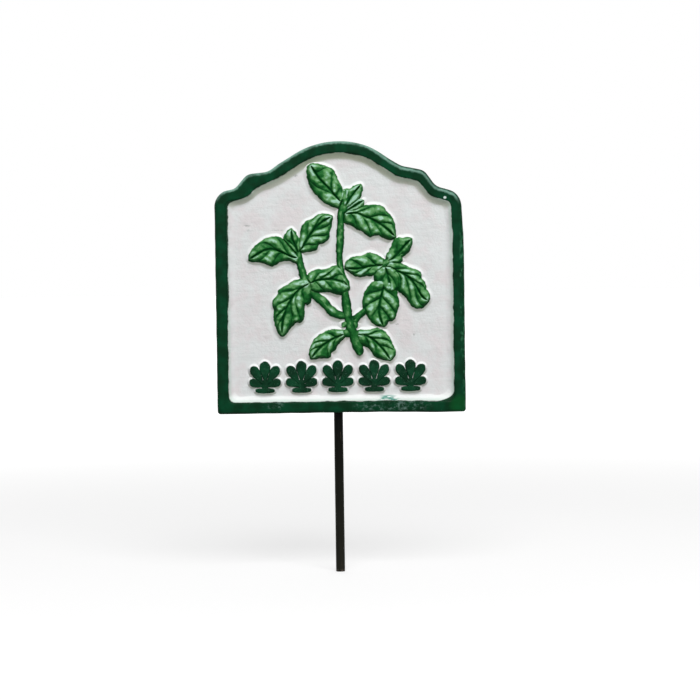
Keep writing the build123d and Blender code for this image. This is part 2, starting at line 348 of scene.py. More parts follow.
def half_outline(inset, crests, arch_foot_share):
    """One half of the plaque's outline, drawn in by inset, from the foot's middle to the arch's top.

    Each side moves in square to itself, and each corner is an arc between the moved sides. The arc's radius
    goes evenly from the outer to the inner one over the border's width. The arch is part of a circle whose
    ends run on into the flanks."""
    arch_end = arch_end_share * half_width
    arch_radius = arch_end / np.sin(arch_flank_angle)
    arch_centre = np.array([0, plaque_height - arch_radius])
    arch_start = arch_centre + arch_radius * np.array([np.sin(arch_flank_angle), np.cos(arch_flank_angle)])
    flank = (arch_foot_share * half_width - arch_end) * np.array([1, -np.tan(arch_flank_angle)])
    crests = [(out * half_width, plaque_height - down * half_width) for out, down in crests]
    corners = np.array([(0, 0), (half_width, 0), *crests, arch_start + flank, arch_start])
    ahead = np.diff(corners, axis=0)
    ahead /= np.linalg.norm(ahead, axis=1)[:, None]
    inward = np.stack([-ahead[:, 1], ahead[:, 0]], axis=1)
    here = corners[0] + inset * inward[0]
    runs = []
    for k, (radius, inner_radius) in enumerate(zip(corner_radii, inner_radii)):
        turn = np.arctan2(np.cross(ahead[k], ahead[k + 1]), ahead[k] @ ahead[k + 1])
        side = np.sign(turn)
        radius = radius + (inner_radius - radius) * min(inset / rim_width, 1)
        corner = corners[k + 1] + inset * (inward[k] + inward[k + 1]) / (1 + inward[k] @ inward[k + 1])
        start = corner - ahead[k] * radius * np.tan(abs(turn) / 2)
        runs.append(here + (start - here) * np.linspace(0, 1, side_steps[k], endpoint=False)[:, None])
        swing = np.linspace(0, turn, arc_steps, endpoint=False)[:, None]
        spoke = -side * inward[k]
        across = np.array([-spoke[1], spoke[0]])
        pivot = start + side * inward[k] * radius
        runs.append(pivot + radius * (spoke * np.cos(swing) + across * np.sin(swing)))
        here = corner + ahead[k + 1] * radius * np.tan(abs(turn) / 2)
    end = arch_start + inset * inward[-1]
    runs.append(here + (end - here) * np.linspace(0, 1, side_steps[-1], endpoint=False)[:, None])
    sweep = np.linspace(arch_flank_angle, 0, arch_steps)[:, None]
    runs.append(arch_centre + (arch_radius - inset) * np.hstack([np.sin(sweep), np.cos(sweep)]))
    return np.concatenate(runs)


def closed_line(there, back):
    """A closed line: up one line and down the other, without its doubled ends."""
    return np.concatenate([there, back[-2:0:-1]])


def outline(inset):
    """The whole outline: the right half, then the mirrored left one from the arch's top back to the foot.

    It is pushed aside by a bell curve about each place of the lists, those of the inner edge only past the
    outer edge's rounding."""
    right = half_outline(inset, right_crests, right_arch_foot)
    left = half_outline(inset, left_crests, left_arch_foot)
    points = closed_line(right, left * (-1, 1))
    past_edge = np.clip((inset - inner_start) / (rim_width - inner_start), 0, 1)
    pushed = 0 * points
    for pushes, share in ((outline_pushes, 1), (inner_pushes, past_edge)):
        for centre, radius, push in pushes:
            near = np.exp(-np.sum((points - centre) ** 2, axis=1) / radius**2)
            pushed = pushed + share * near[:, None] * push
    return points + pushed


def overhead():
    """How much each point of the outline faces up: 1 along the top, 0 along the sides and the foot."""
    return np.clip((outline(0.0) - outline(1.0))[:, 1], 0, 1)


def pocks(x, up):
    """Round bumps and pits added up, each a bell curve about its place."""
    total = 0
    for (at_x, at_up), radius, rise in blemishes:
        total = total + rise * np.exp(-((x - at_x) ** 2 + (up - at_up) ** 2) / radius**2)
    return total


def panel_surface():
    """A profile carried round the outline: panel, cove, side wall and back, drawn to a point at both ends.

    The cove is a quadratic curve from the panel to the border's edge, pulled towards its bend. Inside it and
    on the back, the outline shrinks evenly towards the panel's middle. Slow ripples swell the panel a
    little."""
    share = np.linspace(0, 1, panel_rows)[:, None, None]
    inside = 1 - share[..., 0]
    x, up = np.moveaxis(panel_middle + (outline(cove_foot) - panel_middle) * share, -1, 0)
    swell = panel_swell * (ripples(x, up, 11.0, 5) + 0.6 * ripples(x, up, 3.0, 6, 15)) + pocks(x, up)
    rows = [on_face(x, up, panel_level + swell * np.minimum(1, 12 * inside))]
    marks = [np.broadcast_to(cove_foot + middle_mark * inside, swell.shape)]
    t = np.linspace(0, 1, cove_rows)[1:]
    first, bent, last = (1 - t) ** 2, 2 * t * (1 - t), t**2
    insets = first * cove_foot + bent * (rim_width + cove_bend[0]) + last * rim_width
    levels = first * panel_level + bent * (panel_level + cove_bend[1]) + last * cove_top_level
    insets = np.append(insets, [rim_width, rim_width, rim_width + seam_width])
    levels = np.append(levels, [panel_level, back_level + seam_depth, back_level])
    for inset, level in zip(insets, levels):
        x, up = outline(inset).T
        uneven = cove_unevenness * ripples(x, up, 5.0, 8) * (panel_level + 0.1 < level < cove_top_level)
        rows.append(on_face(x, up, level + uneven)[None])
        marks.append(np.full((1, len(x)), inset))
    share, inside = share[::-back_row_step], inside[::-back_row_step]
    x, up = np.moveaxis(panel_middle + (outline(rim_width + seam_width) - panel_middle) * share, -1, 0)
    sunk = back_unevenness * dips(x, up, 6.0, 9) * (inside > 0)
    rows.append(on_face(x, up, back_level + sunk))
    marks.append(np.full(sunk.shape, back_mark))
    marks = np.concatenate(marks)
    return np.concatenate(rows), {"inset": marks, "overhead": np.broadcast_to(overhead(), marks.shape)}


def mesh_mark(paint, name):
    """A mark that was put on a mesh's points."""
    return Layer(paint, "Attribute", "Fac", attribute_name=name)


def upward(paint):
    """How far a surface faces up: 1 for a top, 0 for a wall, -1 for an underside."""
    return Layer(paint, "SeparateXYZ", "Z", {0: Layer(paint, "NewGeometry", "Normal")})


def specks(paint, spacing, outer, inner):
    """Round specks, one to a cell of the spacing: 1 within the inner share of a cell, 0 past the outer."""
    distance = Layer(paint, "TexVoronoi", "Distance", {"Vector": place(paint), "Scale": 1 / (spacing * MM)})
    return step(distance, outer, inner)


def white_coat(paint):
    """White enamel's colour and height: cloudy over the sand's grain, with faint strokes and a few specks."""
    strokes = grain(paint, (9.0, 3.0, 0.8), 4.0, 0.6)
    clouds = step(grain(paint, 7.0, 3.0, 0.6), 0.35, 0.65)
    colour = blend(clouds, srgb(220, 215, 216), srgb(221, 224, 224))
    colour = blend(step(strokes, 0.55, 0.35, 0.0, 0.3), colour, srgb(206, 208, 207))
    thin = specks(paint, 5.5, 0.05, 0.02) * step(grain(paint, 9.0), 0.5, 0.56)
    colour = blend(thin, colour, srgb(150, 152, 146))
    return colour, grain(paint, 1.3, 3.0, 0.6) + grain(paint, 0.5) * 0.5 + strokes * 0.4


def sloped_white(paint):
    """White enamel's colour and height, with painted highlight on slopes that face up and painted shade on
    those that face down.
    """
    painted_highlight_white, painted_shade_grey = srgb(236, 239, 238), srgb(170, 178, 156)
    white, height = white_coat(paint)
    raised = step(along(paint, "Y"), -(panel_level + 0.03) * MM, -(panel_level + 0.2) * MM)
    # Painted highlight: raised slopes that face up are lightened to a clean white.
    white = blend(raised * step(upward(paint), -0.1, 0.45), white, painted_highlight_white)
    # Painted shade: raised slopes that face down are darkened to an olive grey.
    return blend(raised * step(upward(paint), -0.1, -0.45, 0.0, 0.5), white, painted_shade_grey), height


def green_coat(paint, deep, plain):
    """Bottle-green enamel's colour and height: deeper where it lies thick, and uneven from the brush."""
    colour = blend(step(grain(paint, 5.0), 0.35, 0.65), deep, plain)
    return colour, grain(paint, 2.5, 5.0, 0.65) * 0.8 + grain(paint, 0.5) * 0.3


def patch(paint, x, up, wide, high):
    """1 at a place on the face, falling to 0 at the edge of an ellipse about it."""
    middle = [c * MM for c in (plaque_middle + x, -rim_level, plaque_foot + up)]
    size = [1 / (length * MM) for length in (wide, 5.0, high)]
    near = Layer(paint, "VectorMath", 0, {0: place(paint), 1: middle}, operation="SUBTRACT")
    near = Layer(paint, "VectorMath", 0, {0: near, 1: size}, operation="MULTIPLY")
    return step(Layer(paint, "VectorMath", "Value", {0: near}, operation="LENGTH"), 1.0, 0.5)


def border_edge(paint):
    """1 on the green border and 0 on the white, across the wavering line where the two paints meet."""
    line = mesh_mark(paint, "inset") + (grain(paint, 5.0, 4.0, 0.6) - 0.5) * edge_waver
    for *where, gain in green_gains:
        line = line - patch(paint, *where) * gain
    return step(line, rim_width + 0.2, rim_width - 0.1)


def panel_paint():
    """White enamel that ends at the green border's wavering edge.

    A painted green reflection lies on the cove by the border, painted shade in the cove under the top, and a
    smear near the foot."""
    painted_green_reflection, painted_cove_shade, smeared = srgb(186, 212, 196), srgb(180, 186, 162), srgb(52, 140, 122)
    paint = new_paint("white_panel_paint")
    # The white carries painted highlight on raised slopes that face up and painted shade on those that face
    # down.
    white, height = sloped_white(paint)
    inset = mesh_mark(paint, "inset")
    # Painted reflection: a pale green tint on the cove next to the border, where the border's green light
    # falls on it.
    white = blend(step(inset, rim_width + 1.3, rim_width + 0.2) * 0.5, white, painted_green_reflection)
    # Painted shade: the cove under the top of the border is darkened to an olive grey, most under the arch.
    under_top = step(mesh_mark(paint, "overhead"), 0.1, 0.6, 0.0, 0.7)
    heights = [(plaque_foot + up) * MM for up in (cove_shade_starts, cove_shade_full)]
    under_arch = step(along(paint, "Z"), *heights, 0.45, 1.0)
    white = blend(step(inset, cove_foot + 0.3, cove_foot - 1.1) * under_top * under_arch, white, painted_cove_shade)
    streaks = step(grain(paint, (3.5, 2.0, 0.5), 3.0, 0.6), 0.45, 0.55)
    white = blend(streaks * patch(paint, *smear) * 0.9, white, smeared)
    for where in scratches:
        worn = patch(paint, *where) * step(grain(paint, 0.6), 0.35, 0.6)
        white = blend(worn * 0.55, white, srgb(134, 138, 134))
    colour = blend(border_edge(paint), white, green_coat(paint, border_deep, border_plain)[0])
    return finish_paint(colour, (1.2, 0.5, 0.65), height, 0.16, 0.15)


white_finish = panel_paint()
panel_grids = [panel_surface()]
panel = make_piece("cast_panel", panel_grids, "plaque", "plaque_plate", white_finish)


# Border: the raised band round the panel, part of the same casting, brushed bottle green. Its outer edge is
# rounded, with a painted highlight and some rubbed paint where it faces up, and its foot is scuffed.
rim_rounding, rim_inner_rounding, rim_back_rounding = 1.2, 0.5, 0.35
rim_wear, edge_wear = 0.07, 0.0018
strip_shift_starts, strip_shift_full = 8.0, 20.0

# Marks on the border, each a place and how far it reaches across and up
scuffed = [(19.0, 1.9, 12.0, 2.6), (-22.0, 2.6, 3.4, 2.2), (8.0, 2.0, 5.0, 1.8)]
bright_corner = (39.2, 2.0, 4.6, 4.2)
# Painted highlight: a line of pale flecks down the right side of the border
highlight_flecked_side = (40.6, 36.0, 1.6, 46.0)
white_drop = (34.8, 70.4, 0.65, 0.55)


def arc(centre, radius, start, end, steps):
    """Points of an arc, from one angle to another in quarter turns."""
    angle = np.linspace(start, end, steps) * np.pi / 2
    return np.stack([centre[0] + radius * np.cos(angle), centre[1] + radius * np.sin(angle)], axis=-1)


def rim_surface():
    """A closed profile of inset and level carried round the outline, and worn down a little by slow ripples.

    The outer edge is also drawn towards the panel's middle where it is worn."""
    flat = np.linspace(rim_rounding, rim_width - rim_inner_rounding, 9)[1:-1]
    wall = np.linspace(rim_level - rim_rounding, back_level + rim_back_rounding, 9)[1:-1]
    profile = np.concatenate([
        np.stack([0 * wall, wall[::-1]], axis=-1),
        arc((rim_rounding, rim_level - rim_rounding), rim_rounding, 2, 1, 9),
        np.stack([flat, 0 * flat + rim_level], axis=-1),
        arc((rim_width - rim_inner_rounding, rim_level - rim_inner_rounding), rim_inner_rounding, 1, 0, 7),
        [(rim_width, panel_level), (rim_width, back_level + seam_depth)],
        [(rim_width - seam_width, back_level), (rim_width / 2, back_level)],
        arc((rim_back_rounding, back_level + rim_back_rounding), rim_back_rounding, 3, 2, 6),
    ])
    rows = []
    for inset, level in profile:
        points = outline(inset)
        worn = dips(*points.T, 7.0, 12)
        drawn = edge_wear * max(0, 1 - inset / rim_rounding) * worn
        x, up = (points + (panel_middle - points) * drawn[:, None]).T
        rows.append(on_face(x, up, level - rim_wear * worn * (level > panel_level)))
    marks = np.repeat(profile[:, :1], len(points), axis=1)
    return np.stack(rows), {"inset": marks, "overhead": np.broadcast_to(overhead(), marks.shape)}


def border_paint():
    """Bottle green, with a painted highlight and some rubbed paint on the outer edge where it faces up, and
    scuffs along the foot.

    The pale strip lies between two distances from the edge. Right of the arch's middle, both move in."""
    paint = new_paint("dark_green_border_paint")
    green, height = green_coat(paint, border_deep, border_plain)
    green = blend(patch(paint, *bright_corner) * 0.4, green, srgb(10, 90, 34))
    forward = along(paint, "Y")
    start = (rim_rounding - rim_level) * MM
    behind = step(forward, start, start + 1.8 * MM, 0.0, 1.8)
    edge = mesh_mark(paint, "inset") + (grain(paint, 1.6, 4.0, 0.6) - 0.5) * 1.1 - behind
    moved_in = step(along(paint, "X"), strip_shift_starts * MM, strip_shift_full * MM)
    # Painted highlight with some rubbed paint: a pale strip on the rounded outer edge where it faces up,
    # lying further in right of the arch's middle.
    rubbed_and_sheen = step(edge - moved_in * 0.5, 1.1, 0.3) * step(edge - moved_in * 1.8, -1.7, -0.9)
    rubbed_and_sheen = rubbed_and_sheen * step(mesh_mark(paint, "overhead"), 0.15, 0.8, 0.0, 0.75)
    rubbed_and_sheen = rubbed_and_sheen * step(forward, -0.8 * MM, -1.8 * MM) * step(grain(paint, 4.5), 0.38, 0.58, 0.6, 1.1)
    green = blend(rubbed_and_sheen, green, srgb(128, 172, 154))
    scuffs = step(grain(paint, (1.3, 2.0, 1.0), 5.0, 0.65), 0.46, 0.74)
    for where in scuffed:
        green = blend(scuffs * patch(paint, *where) * 0.75, green, srgb(108, 138, 128))
    pale = specks(paint, 2.6, 0.09, 0.05) * step(grain(paint, 3.0), 0.5, 0.6)
    green = blend(pale * 0.5, green, srgb(70, 128, 98))
    # Painted highlight: a broken pale line of flecks down the border's right side.
    highlight_flecks = step(grain(paint, (0.8, 2.0, 1.4), 4.0), 0.48, 0.66) * patch(paint, *highlight_flecked_side)
    green = blend(highlight_flecks * 0.8, green, srgb(52, 110, 78))
    green = blend(patch(paint, *white_drop), green, srgb(205, 220, 214))
    colour = blend(border_edge(paint), white_coat(paint)[0], green)
    return finish_paint(colour, (1.5, 0.33, 0.5), height, 0.05, 0.07)


green_finish = border_paint()
border_grids = [rim_surface()]
border = make_piece(
    "green_border", border_grids, "plaque", "rim_band", green_finish,
    closed_rows=True
)


# Socket boss: the thick round-nosed ridge on the plaque's back, cast with it and painted white too. It gives
# walls to the threaded hole, which is drilled up into it from the plaque's foot.
bore_radius = rod_radius + 0.05
bore_length = rod_high[2] - plaque_foot + 1.0
boss_radius = bore_radius + 2.09
boss_length = bore_length + 3.5
boss_rounding = 1.3
boss_foot_rounding = 0.3
boss_fillet = 0.8
boss_seat = 0.2
boss_columns, boss_rows = 96, 60
boss_unevenness = 0.012
bore_columns = 64


def boss_surface():
    """Rings of a cylinder, flat where they lie inside the plate: radius by height, rounded at foot and nose.

    Beside the plate the rings widen by a fillet that falls with the square of the distance from the plate."""
    nose, heel = arc((0, 0), 1.0, 0, 1, 9), arc((0, 0), 1.0, -1, 0, 5)
    straight = np.linspace(boss_foot_rounding, boss_length - boss_rounding, boss_rows)[1:-1]
    height = np.concatenate([
        [0], boss_foot_rounding * (1 + heel[:, 1]), straight, boss_length - boss_rounding * (1 - nose[:, 1]),
        [boss_length],
    ])
    reach = np.concatenate([
        [0], boss_radius - boss_foot_rounding * (1 - heel[:, 0]), 0 * straight + boss_radius,
        boss_radius - boss_rounding * (1 - nose[:, 0]), [0],
    ])
    angle = full_turn(boss_columns)
    x, back = reach[:, None] * np.cos(angle), reach[:, None] * np.sin(angle)
    back = np.maximum(back, boss_seat)
    near_plate = np.clip(1 - (back + back_level) / boss_fillet, 0, 1) ** 2
    x = x * (1 + boss_fillet / boss_radius * near_plate * (back > boss_seat))
    uneven = 1 - boss_unevenness * dips(5 * angle, height[:, None], 4.0, 14)
    return np.stack([x * uneven, back * uneven, plaque_foot + height[:, None] + 0 * x], axis=-1)


def drill(pieces):
    """Cuts the blind hole out of the pieces with a cylinder that is removed afterwards."""
    reach = np.array([0, bore_radius, bore_radius, 0])[:, None]
    height = plaque_foot + np.array([-1, -1, bore_length, bore_length])[:, None]
    bore = turned(reach, height, full_turn(bore_columns))
    cutter = bpy.data.objects.new("drill", grid_mesh("drill", [(bore, {})]))
    cutter.data.shade_flat()
    bpy.context.scene.collection.objects.link(cutter)
    for piece in pieces:
        cut = piece.modifiers.new("hole", "BOOLEAN")
        cut.operation = "DIFFERENCE"
        cut.solver = "MANIFOLD"
        cut.object = cutter
    evaluated = bpy.context.evaluated_depsgraph_get()
    drilled = [bpy.data.meshes.new_from_object(piece.evaluated_get(evaluated)) for piece in pieces]
    for piece, mesh in zip(pieces, drilled):
        piece.modifiers.clear()
        piece.data = mesh
    bpy.data.objects.remove(cutter)


boss_grid = (boss_surface(), {"inset": back_mark})
boss = make_piece("socket_boss", [boss_grid], "plaque", "plaque_plate", white_finish)
drill([panel, border, boss])


# Stems: cast with the plaque as rounded ridges with soft fillets, and brushed leaf green. The main stem
# tapers up to the top leaves, and two branches leave it. Each has its run of places, its half width at each,
# and how high it rises.
stem_runs = {
    "main_stem": (
        [(1.4, 68.7), (0.8, 66.0), (0.5, 63.1), (0.3, 59.1), (0.1, 55.2), (-0.1, 51.2), (0.2, 47.6),
         (0.9, 43.6), (1.5, 40.0), (1.9, 36.3), (2.3, 32.7), (2.9, 29.7), (3.8, 26.7), (4.8, 24.1),
         (5.4, 22.3), (5.9, 20.6), (6.3, 18.7)],
        [1.06, 1.12, 1.15, 1.19, 1.15, 1.02, 0.99, 1.12, 1.29, 1.42, 1.45, 1.45, 1.6, 1.75, 1.65, 1.4, 0.9],
        1.5,
    ),
    "left_branch": (
        [(2.5, 31.9), (0.3, 32.1), (-1.5, 32.6), (-3.3, 33.8), (-4.6, 35.5), (-6.2, 37.1), (-8.6, 39.1),
         (-11.1, 42.2), (-12.0, 45.1), (-12.7, 47.8), (-13.3, 50.4), (-13.8, 53.2)],
        [0.9, 1.15, 1.4, 1.55, 1.45, 1.4, 1.3, 1.19, 1.15, 1.19, 1.25, 1.19], 1.2,
    ),
    "right_branch": (
        [(3.5, 30.0), (4.9, 30.8), (6.2, 32.0), (7.5, 33.1), (9.6, 35.2), (12.3, 40.1), (15.0, 46.6)],
        [1.72, 1.45, 1.02, 0.82, 0.99, 1.06, 1.06], 1.2,
    ),
    "top_joint": ([(1.0, 65.7), (1.6, 67.4), (1.6, 69.6)], [1.19, 1.42, 1.2], 1.5),
    "right_joint": ([(13.7, 48.3), (15.4, 49.1), (17.2, 49.9)], [1.06, 1.39, 1.06], 1.4),
    "side_bud": ([(0.5, 28.3), (1.0, 28.8), (1.9, 29.4), (3.1, 29.6)], [0.6, 0.85, 0.95, 0.95], 1.25),
    "branch_foot": ([(3.6, 31.2), (4.3, 29.6), (4.9, 27.6)], [1.1, 1.35, 1.2], 1.15),
    "bottom_left_joint": ([(0.6, 26.1), (2.4, 26.2), (4.4, 26.0)], [0.9, 1.5, 1.5], 1.3),
    "bottom_right_joint": ([(4.4, 25.6), (6.2, 25.4), (7.6, 25.3)], [1.4, 1.7, 1.0], 1.3),
}
stem_shoulder = 0.65
stem_steps = 130
stem_shares = np.linspace(0, 1, 13)
stem_unevenness, crest_unevenness = 0.06, 0.05
relief_root = 0.08
fillet_flare, fillet_steps, fillet_hollow = 2.2, 12, 1.9
turn_blur = 6
fillet_crest = 0.42
white_level = panel_level + 0.66
leaf_deep, leaf_plain = srgb(0, 60, 20), srgb(30, 100, 42)
# The pale and rubbed greens also carry the leaves' painted highlight on surfaces that face up.
leaf_pale, leaf_rubbed_and_sheen = srgb(98, 154, 96), srgb(160, 204, 180)


def travelled(points):
    """How far along a polyline each of its points lies."""
    return np.concatenate([[0], np.cumsum(np.linalg.norm(np.diff(points, axis=0), axis=1))])


def smooth_run(points, count):
    """Evenly spaced points of a smooth curve through the given ones, by cubic Hermite pieces."""
    points = np.array(points, float)
    at = travelled(points[:, :2])
    slope = np.gradient(points, at, axis=0)
    t = np.linspace(0, at[-1], count)
    k = np.clip(np.searchsorted(at, t, side="right") - 1, 0, len(at) - 2)
    gap = (at[k + 1] - at[k])[:, None]
    t = (t - at[k])[:, None] / gap
    ends = (1 + 2 * t) * (1 - t) ** 2 * points[k] + t**2 * (3 - 2 * t) * points[k + 1]
    return ends + gap * (t * (1 - t) ** 2 * slope[k] - t**2 * (1 - t) * slope[k + 1])


def away_from(edge):
    """Outward unit normals of a closed edge, averaged over neighbours so that they turn softly at a tip.

    A normal is the step from one neighbour to the other, turned a quarter, and outward by the sign of the
    area."""
    ahead = np.roll(edge, -1, axis=0) - np.roll(edge, 1, axis=0)
    enclosed = np.sum(edge[:, 0] * ahead[:, 1] - edge[:, 1] * ahead[:, 0])
    normal = np.stack([ahead[:, 1], -ahead[:, 0]], axis=1) * np.sign(enclosed)
    normal /= np.linalg.norm(normal, axis=1)[:, None] + 1e-9
    normal = sum(np.roll(normal, shift, axis=0) for shift in range(-turn_blur, turn_blur + 1))
    return normal / (np.linalg.norm(normal, axis=1)[:, None] + 1e-9)


def raised_shape(edge, spine, margin_level, crown, shares, flare, smooth_edge=None):
    """A shape that stands on the panel: rings that grow from spine to edge, a fillet, and a flat bottom.

    Each point of a ring lies a share of the way from the spine to the edge, and its level is the margin's
    level plus the crown there. The fillet runs out from the edge by the flare, and its height above the panel
    falls as a power of what is left of the way out, so that it is hollow."""
    rings = spine + (edge - spine) * shares[:, None, None]
    rows = [on_face(rings[..., 0], rings[..., 1], margin_level + crown)]
    smooth_edge = edge if smooth_edge is None else smooth_edge
    outward = away_from(smooth_edge)
    out = np.linspace(0, 1, fillet_steps)[1:, None]
    low = panel_level - relief_root
    skirt = edge + outward * flare * out[..., None] + (smooth_edge - edge) * out[..., None]
    level = low + (margin_level - low) * (1 - out) ** fillet_hollow
    rows.append(on_face(skirt[..., 0], skirt[..., 1], level + 0 * skirt[..., 0]))
    rows.append(on_face(spine[:, 0], spine[:, 1], low)[None])
    return np.concatenate(rows)


def crest_mark(crown, rows):
    """Marks for a raised shape: its crown's height, and one low height on the fillet and the bottom."""
    mark = np.full((rows, crown.shape[1]), fillet_crest)
    mark[:len(crown)] = crown
    return {"crest": mark}


def stem_edge(run, half_widths):
    """Edge and spine of a stem: its run let out to both sides, with round ends."""
    line = smooth_run(np.column_stack([run, half_widths]), stem_steps)
    line, half = line[:, :2], line[:, 2]
    ahead = np.gradient(line, axis=0)
    ahead /= np.linalg.norm(ahead, axis=1)[:, None]
    aside = np.stack([-ahead[:, 1], ahead[:, 0]], axis=1)
    at = travelled(line)
    to_end = np.minimum(at, at[-1] - at) / half
    half = half * np.sqrt(1 - np.clip(1 - to_end, 0, 1) ** 2)
    let_out = aside * (half * (1 + stem_unevenness * ripples(at, 0 * at, 6.0, len(run))))[:, None]
    return closed_line(line + let_out, line - let_out), closed_line(line, line)


def stem_surface(run, half_widths, rise):
    """A stem as a raised shape: across it, its top is half an ellipse, with slow ripples along its crest."""
    edge, spine = stem_edge(run, half_widths)
    round_top = np.sqrt(1 - stem_shares**2)[:, None]
    lumps = ripples(*edge.T, 3.0, 21)
    crown = (rise - stem_shoulder + crest_unevenness * lumps) * round_top
    points = raised_shape(edge, spine, panel_level + stem_shoulder, crown, stem_shares, fillet_flare)
    return points, crest_mark(0.62 * round_top**2 + 0.15 * lumps, len(points))


def painted_down_to(paint, level, fade, size, reach, detail=3.0, rough=0.5):
    """0 above a level and 1 under it, across a line that wavers by the reach and fades over a length."""
    line = along(paint, "Y") + (grain(paint, size, detail, rough) - 0.5) * (reach * MM)
    return step(line, -level * MM, (fade - level) * MM)


def leaf_green():
    """Leaf green, brushed over white: deep in the grooves, rubbed pale on the crests, white at the foot.

    Surfaces that face up take painted highlight, and those that face down painted shade, on the green and the
    white.
    """
    paint = new_paint("leaf_green_paint")
    mottle = grain(paint, 1.1, 4.0, 0.6) - 0.5
    height = mesh_mark(paint, "crest") + mottle * 0.7 + (grain(paint, 3.2, 2.0) - 0.5) * 0.9
    # Painted highlight and shade: the green's height is raised where the surface faces up and lowered where
    # it faces down.
    height = height + step(upward(paint), -0.7, 0.8, -0.2, 0.35)
    colour = blend(step(height, 0.22, 0.62), leaf_deep, leaf_plain)
    colour = blend(step(height, 0.6, 0.94), colour, leaf_pale)
    colour = blend(step(height, 0.93, 1.22), colour, leaf_rubbed_and_sheen)
    # The white at the foot carries painted highlight on slopes that face up and painted shade on those that
    # face down.
    colour = blend(painted_down_to(paint, white_level, 0.12, 1.6, 0.7), colour, sloped_white(paint)[0])
    sand = grain(paint, 0.35) + mottle * 1.2
    return finish_paint(colour, (0.9, 0.36, 0.55), sand, 0.06, 0.07)


leaf_finish = leaf_green()
for name, stem in stem_runs.items():
    make_piece(name, [stem_surface(*stem)], "plaque", "herb_sprig", leaf_finish)


# Leaves: 17 leaves and buds on the stems, cast in relief with puffed lobes between their veins, in up to
# three layers. The painter left the fillets at their feet white.
leaf_edge_rise, leaf_puff_rise, leaf_layer_rise = 0.62, 1.12, 0.3
leaf_roll = 0.9
vein_half_width, vein_depth = 0.36, 0.85
rib_margin = 0.04
lobe_share = 0.75
leaf_lumps = 0.11
leaf_steps = 150
leaf_shares = np.linspace(0, 1, 36)

